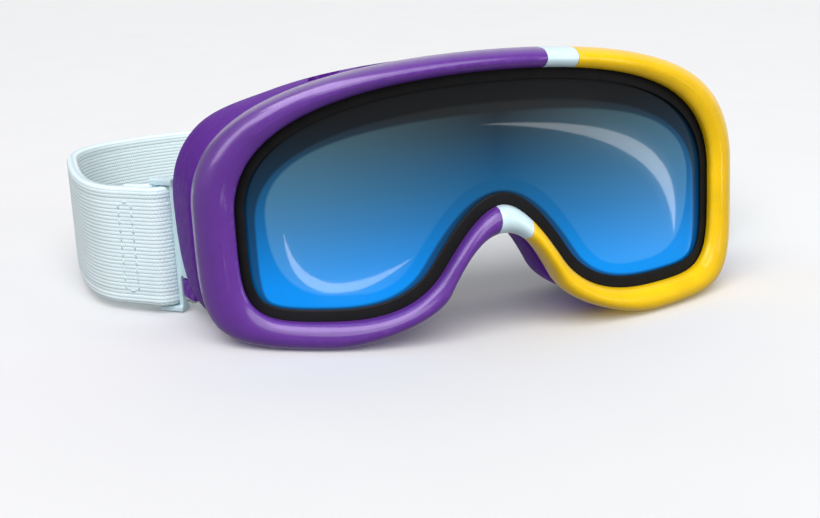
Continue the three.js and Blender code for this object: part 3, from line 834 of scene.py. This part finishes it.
def hinge_ear(side, z0, z1):
    """A rounded lug round the hinge pin that runs forward into the frame's wall."""
    turns = np.linspace(0, math.pi, 24)
    x, y = PIVOT
    outline = [(x + EAR_RADIUS * math.cos(a), y + EAR_RADIUS * math.sin(a)) for a in turns]
    root = y - 8.5
    outline += [(x - EAR_RADIUS, y - 5), (x - 1.5, root), (x + 0.6, root), (x + EAR_RADIUS - 0.4, y - 3)]
    rows = []
    for inset, z in ((0.5, z0), (0, z0 + 0.5), (0, z1 - 0.5), (0.5, z1)):
        center = np.array([x, y - 2])
        loop = np.array(outline)
        away = loop - center
        loop = loop - away / np.linalg.norm(away, axis=1)[:, None] * inset
        rows.append([(side * px, py, z) for px, py in loop])
    return tube("ear", np.array(rows))


def add_face_frame():
    section = rounded(
        [
            (0, -2.2, 11.8, 3, 0.8), (0, -0.2, 13, 3, 1.2, FLARE * 0.2), (0, 0.8, 18, 0, 3, FLARE * 0.5),
            (0, 1, 25, 0, 3, FLARE * 0.9), (0, 0.3, 30.5, TUCK, 2, FLARE), (0, -1.4, 33, TUCK, 1.2, FLARE),
            (0, -11, 33, 0, 0.8), (0, -11, 30.6, 0, 0.8), (0, -3.6, 30.6, TUCK, 1, FLARE * 0.8),
            (0, -2.6, 28, TUCK, 1, FLARE * 0.9), (0, -2.6, 18.5, 0, 1, FLARE * 0.5), (0, -4.4, 14.5, 0, 1),
            (0, -4.4, 11.8, 3, 0.5),
        ]
    )
    rows = ring_rows(FRAME_PATH, FRAME_PATH, section)
    rows[..., 2] = np.maximum(rows[..., 2], 0)
    piece = tube("frame_shell", rows, joined=True)
    tools = [slot_cutter(step * 15, 9.5, 70, 95) for step in range(-3, 4)]
    tools += [slot_cutter(x, 9, -5, 9) for x in (-73, -39, 39, 73)]
    ears = [hinge_ear(side, *heights) for side in (-1, 1) for heights in EARS]
    bore = [(0.001, 3), (PIN_RADIUS + PIN_CLEARANCE, 3), (PIN_RADIUS + PIN_CLEARANCE, 43), (0.001, 43)]
    bores = [lathe("bore", (side * PIVOT[0], PIVOT[1]), bore) for side in (-1, 1)]
    for ear in ears:
        cut(piece, ear, "UNION")
    for tool in [*tools, *bores]:
        cut(piece, tool)
    apply_modifiers(piece)
    for tool in [*tools, *ears, *bores]:
        bpy.data.objects.remove(tool)
    shade(piece, 32)
    bevel = piece.modifiers.new("soften", "BEVEL")
    bevel.width, bevel.segments, bevel.angle_limit = 0.35 * MM, 2, math.radians(50)
    bevel.use_clamp_overlap = True
    stand_in(piece, "face_frame", "frame_plastic")


def station_at(path, x, top):
    """The station on the upper or lower side of an outline at a place along the wrap."""
    half = path.points[: HALF + 1]
    stations = np.arange(HALF + 1)
    crown = STATIONS["crown"]
    part = slice(0, crown + 1) if top else slice(crown, crown + STATIONS["cheek"] + STATIONS["lobe"] + 1)
    places, where = half[part, 0], stations[part]
    if not top:
        places, where = places[::-1], where[::-1]
    station = np.interp(abs(x), places, where)
    return station if x >= 0 else TOTAL - station


def add_vent_foams():
    corners = ((-5, 19.2), (-2.9, 19.2), (-2.9, 28.5), (-5, 28.5))
    section = rounded([(0, off, depth, 0, 0.5) for off, depth in corners])
    rows = ring_rows(FRAME_PATH, FRAME_PATH, section)
    spans = {
        "top_vent_foam": (station_at(FRAME_PATH, -52, True) - TOTAL, station_at(FRAME_PATH, 52, True)),
        "bottom_vent_foam_right": (station_at(FRAME_PATH, 76, False), station_at(FRAME_PATH, 31, False)),
        "bottom_vent_foam_left": (station_at(FRAME_PATH, -31, False), station_at(FRAME_PATH, -76, False)),
    }
    for node, (start, stop) in spans.items():
        strip = between(rows, np.full(len(section), start), np.full(len(section), stop), 70)
        stand_in(tube(f"{node}_strip", with_fillets(strip, 0.4)), node, "vent_foam")


def soft_section(inner, outer, front, back, bulge, corner):
    """A foam layer's section, whose inner and outer sides swell out by `bulge`."""
    mid = (front + back) / 2
    return rounded(
        [
            (0, outer, front, 0, corner), (0, outer + 2 * bulge, mid, 0, 30), (0, outer, back, 0, corner),
            (0, (outer + inner) / 2, back + bulge, 0, 30), (0, inner, back, 0, corner),
            (0, inner - 2 * bulge, mid, 0, 30), (0, inner, front, 0, corner),
            (0, (outer + inner) / 2, front, 0, 30),
        ],
        steps=7,
    )


def add_foam(name, node, slot, section, lumps):
    rows = ring_rows(FRAME_PATH, FRAME_PATH, section)
    station = np.arange(TOTAL) / TOTAL * 2 * math.pi
    waves = ((17, 0.4), (29, 1.9), (41, 4.2))  # each one's count round the ring, and its phase
    wave = sum(np.sin(count * station + phase) for count, phase in waves)
    middle = rows.mean(axis=1, keepdims=True)
    rows = middle + (rows - middle) * (1 + lumps * wave)[:, None, None]
    piece = stand_in(tube(name, rows, joined=True), node, slot)


def add_foams():
    base = soft_section(-12.5, -5, 33.3, 39.4, 0.25, 0.8)
    core = soft_section(-12.5, -5, 39.6, 46.4, 0.45, 1.4)
    lining = soft_section(-12.4, -5.1, 46.7, 48.5, 0.3, 0.9)
    add_foam("foam_firm_layer", "foam_base", "firm_foam", base, 0.004)
    add_foam("foam_soft_layer", "foam_core", "soft_foam", core, 0.008)
    add_foam("fleece_face", "foam_lining", "fleece_lining", lining, 0.008)


# ---- strap
ARM = np.array([math.sin(ARM_ANGLE), math.cos(ARM_ANGLE)])
ARM_OUT = np.array([ARM[1], -ARM[0]])


def arm_point(along, out):
    """A plan point given along the right arm from its pivot and outward from its middle."""
    return PIVOT + ARM * along + ARM_OUT * out


def loop_curves(out, inset):
    """The right side of the strap loop in plan, from the outrigger to the straight run at the back."""
    start = arm_point(LOOP_START, out)
    bulge = np.array([LOOP["half_width"] - inset, LOOP["bulge_y"]])
    run = np.array([LOOP["run_half"], LOOP["back_y"] - inset])
    first = (start, arm_point(LOOP_START + 14, out), bulge - (0, 38), bulge)
    second = (bulge, bulge + (0, 26 - inset / 2), run + (38 - inset / 2, 0), run)
    t = np.linspace(0, 1, 80)
    return np.concatenate([bezier(first, t)[:-1], bezier(second, t)])


def half_turn(center, radius, start, steps=24):
    """Points round a bar: from `start`, clockwise seen from above, over half a turn."""
    angles = start - np.linspace(0, math.pi, steps)
    return np.stack([center[0] + radius * np.cos(angles), center[1] + radius * np.sin(angles)], axis=1)


def evenly(points, step=1.0):
    """A plan line resampled at even spacing, with the distance along it."""
    points = np.asarray(points, float)
    length = np.concatenate([[0], np.cumsum(np.linalg.norm(np.diff(points, axis=0), axis=1))])
    keep = np.concatenate([[True], np.diff(length) > 1e-9])
    points, length = points[keep], length[keep]
    along = np.linspace(0, length[-1], max(int(length[-1] / step), 4))
    return np.stack([np.interp(along, length, points[:, k]) for k in (0, 1)], axis=1), along


def strap_section():
    """(out, height) round the strap: thick soft edges and a shallow groove inside each selvage."""
    half, thick, edge_run = STRAP_WIDTH / 2, STRAP_THICKNESS / 2, 1.9
    turns = np.linspace(0, math.pi / 2, 7)[1:-1]
    edge_height = half - edge_run + edge_run * np.sin(turns)
    flat_height = np.linspace(-(half - edge_run), half - edge_run, 49)
    heights = np.concatenate([-edge_height[::-1], flat_height, edge_height])
    out = np.concatenate([thick * np.cos(turns)[::-1], np.full(49, thick), thick * np.cos(turns)])
    out = out - 0.22 * np.exp(-(((np.abs(heights) - (half - 4.2)) / 0.45) ** 2))
    face = np.stack([out, heights], axis=1)
    return np.concatenate([face, [[0, half]], face[::-1] * (-1, 1), [[0, -half]]])


STRAP_SECTION = strap_section()


def ribbon(name, line, along_start=0.0, thickness=None):
    """Strap webbing on edge along a plan line."""
    points, along = evenly(line)
    run = np.gradient(points, axis=0)
    run /= np.linalg.norm(run, axis=1)[:, None]
    normal = np.stack([run[:, 1], -run[:, 0]], axis=1)
    scale = np.ones(len(points)) if thickness is None else thickness(along) / STRAP_THICKNESS
    out, height = STRAP_SECTION.T
    plan = points[:, None] + normal[:, None] * (out[None] * scale[:, None])[..., None]
    level = np.broadcast_to(STRAP_MID_HEIGHT + height, plan.shape[:2])
    rows = with_fillets(np.concatenate([plan, level[..., None]], axis=2), 0.3)
    distance = np.concatenate([[along[0]] * 3, along, [along[-1]] * 3]) + along_start
    attributes = {
        "along_mm": np.broadcast_to(distance[:, None], rows.shape[:2]),
        "across_mm": np.broadcast_to(height, rows.shape[:2]) + STRAP_WIDTH,
    }
    return tube(name, rows, attributes=attributes, sharp=60), along[-1]


STITCH_PITCH = 2.7


def stitch(place, direction, outward, length=2.0, radius=0.32):
    """One raised stitch: points of a small spindle along `direction`, half sunk in the webbing."""
    across = np.cross(direction, outward)
    rows = []
    for share, size in zip((-1, -0.8, 0, 0.8, 1), (0.25, 0.8, 1, 0.8, 0.25)):
        center = place + direction * share * length / 2 + outward * radius * (size - 0.75)
        rows.append([
            center + radius * size * (across * math.cos(a) + outward * math.sin(a))
            for a in np.linspace(0, 2 * math.pi, 8, endpoint=False)
        ])
    return np.array(rows)


def stitched(name, stitches):
    """Many stitches as one piece."""
    points, faces = [], []
    for rows in stitches:
        start = sum(len(p) for p in points)
        points.append(rows.reshape(-1, 3))
        faces += [tuple(start + i for i in face) for face in tube_faces(*rows.shape[:2], joined=False)]
    return make_piece(name, np.concatenate(points), faces, sharp=80)


def box_stitch(center, run, outward, width, height, mirror=1):
    """A sewn rectangle on an upright face."""
    run, outward = np.array([*run, 0.0]), np.array([*outward, 0.0])
    corners = np.array([(-1, -1), (1, -1), (1, 1), (-1, 1)]) * (width / 2, height / 2)
    stitches = []
    for start, stop in zip(corners, np.roll(corners, -1, axis=0)):
        length = np.linalg.norm(stop - start)
        count = max(int(length / STITCH_PITCH), 1)
        heading = (stop - start) / length
        for share in (np.arange(count) + 0.5) / count:
            x, z = start + (stop - start) * share
            place = np.array([*center, STRAP_MID_HEIGHT + z]) + run * x
            rows = stitch(place, run * heading[0] + (0, 0, heading[1]), outward)
            rows[..., 0] *= mirror
            stitches.append(rows)
    return stitches


def blend_to_outrigger(piece):
    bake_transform(piece)


def add_strap():
    back = np.array([[0, LOOP["back_y"]]])
    outer = loop_curves(LAYER, 0)[::-1]
    bar = arm_point(BAR_ALONG, 0)
    turn = half_turn(bar, LAYER, math.atan2(ARM_OUT[1], ARM_OUT[0]))
    common = np.concatenate([back, outer, [arm_point(BAR_ALONG, LAYER)], turn])

    sewn_places = ((BAR_ALONG, -LAYER), (15.5, -LAYER), (16, SEWN_OUT), (19, SEWN_OUT))
    sewn = bezier([arm_point(*place) for place in sewn_places], np.linspace(0, 1, 20))
    left_line = np.concatenate([common, sewn[1:], [arm_point(SEWN_END, SEWN_OUT)]]) * (-1, 1)
    left, left_length = ribbon("strap_left", left_line)
    give(left, "strap_elastic")
    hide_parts("strap", "strap_end_left")
    blend_to_outrigger(left)

    inner = loop_curves(-LAYER, RETURN_INSET)
    inner_end = int(np.flatnonzero((inner[:, 0] < RETURN_CUT_X) & (inner[:, 1] > LOOP["bulge_y"]))[0])
    right_line = np.concatenate([common, inner[: inner_end + 1]])
    right, right_length = ribbon("strap_right", right_line)
    give(right, "strap_elastic")
    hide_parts("strap_end_right", "strap_return")
    blend_to_outrigger(right)

    wrap_radius = 2.4
    x, y = SLIDER_BAR
    t = np.linspace(0, 1, 16)
    approach = bezier(((58, y + 1.1), (55, y + 1.1), (53, y + 2.25), (49, y + 2.25)), t)
    over = half_turn(SLIDER_BAR, wrap_radius, math.pi / 2)
    over[:, 0] = 2 * x - over[:, 0]
    back_out = bezier(((x, y - wrap_radius), (42, y - wrap_radius), (43, y + 0.2), (47, y + 0.2)), t)
    tail_line = np.concatenate(
        [inner[inner_end:], approach[1:], [(44, y + 2.3)], over, back_out[1:], [(52, y + 0.2)]]
    )
    straight = np.linalg.norm(np.diff(inner[inner_end:], axis=0), axis=1).sum()
    tail, tail_length = ribbon(
        "strap_tail_fold", tail_line, right_length,
        lambda along: STRAP_THICKNESS - 2.2 * smoothstep(along, straight, straight + 9),
    )
    give(tail, "strap_elastic")
    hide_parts("strap_tail")
    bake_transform(tail)


def add_stitches():
    half = STRAP_THICKNESS / 2
    along, width, height = 20.2, 5.2, 30
    sewn = box_stitch(arm_point(along, LAYER + half), ARM, ARM_OUT, width, height, mirror=-1)
    sewn += box_stitch(arm_point(along, SEWN_OUT - half), ARM, -ARM_OUT, width, height, mirror=-1)
    piece = give(stitched("stitches_left", sewn), "sewing_thread")
    blend_to_outrigger(piece)

    inside = box_stitch((49.4, SLIDER_BAR[1] - 0.7), (1, 0), (0, -1), 3.6, height)
    piece = give(stitched("stitches_tail", inside), "sewing_thread")
    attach(piece, "slider")


def add_grips():
    """Wavy silicone beads inside the back of the strap."""
    face_y = LOOP["back_y"] - 1.95  # just inside the strap's inner face
    turns = np.linspace(0, 2 * math.pi, 14, endpoint=False)
    for level, middle in (("lower", 13), ("middle", 23), ("upper", 33)):
        rows = []
        for x in np.linspace(-50, 5, 140):
            z = middle + 0.45 * math.sin(x * 0.9)
            rows.append([(x, face_y - 1.1 * max(math.sin(a), -0.15), z + 0.75 * math.cos(a)) for a in turns])
        bead = tube(f"grip_bead_{level}", with_fillets(np.array(rows), 0.3))
        stand_in(bead, f"grip_strip_{level}", "grip_silicone")


# ---- hinges and moulded parts
def add_pins():
    head = EARS[1][1] + PIN_CLEARANCE
    clip_top = EARS[0][0] - PIN_CLEARANCE
    clip_inside = PIN_RADIUS + 0.1
    pin_profile = [
        (0.001, 3.6), (1.1, 3.6), (PIN_RADIUS, 4.0), (PIN_RADIUS, head), (2.5, head), (2.7, head + 0.2),
        (2.65, head + 0.8), (2.2, head + 1.3), (1.2, head + 1.5), (0.9, head + 1.25), (0.001, head + 1.2),
    ]
    clip_profile = [
        (clip_inside, 4.5), (2.5, 4.4), (2.7, 4.6), (2.7, clip_top - 0.2), (2.5, clip_top),
        (clip_inside, clip_top),
    ]
    for side, sign in (("left", -1), ("right", 1)):
        center = (sign * PIVOT[0], PIVOT[1])
        stand_in(lathe(f"hinge_pin_{side}", center, pin_profile), f"pin_{side}", "steel_pin")
        stand_in(lathe(f"hinge_clip_{side}", center, clip_profile), f"pin_clip_{side}", "steel_pin")


def finish_moulded_nodes():
    """The outriggers and slider keep their CAD shape; their edges are melted round as on a moulding."""
    for name, material, slot in (
        ("outrigger_left", "outrigger_plastic", "white_plastic"),
        ("outrigger_right", "outrigger_plastic", "white_plastic"),
        ("slider", "slider_plastic", "slider_plastic"),
    ):
        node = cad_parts[name]
        skin = node.modifiers.new("skin", "REMESH")
        skin.mode, skin.voxel_size, skin.use_smooth_shade = "VOXEL", 0.3 * MM, True
        melt = node.modifiers.new("melt", "SMOOTH")
        melt.factor, melt.iterations = 0.5, 8
        give(node, material)


# ---- build
eye = add_camera()
add_floor()
add_studio(eye)
add_rim()
add_lens_pack()
add_face_frame()
add_vent_foams()
add_foams()
add_strap()
add_stitches()
add_grips()
add_pins()
finish_moulded_nodes()
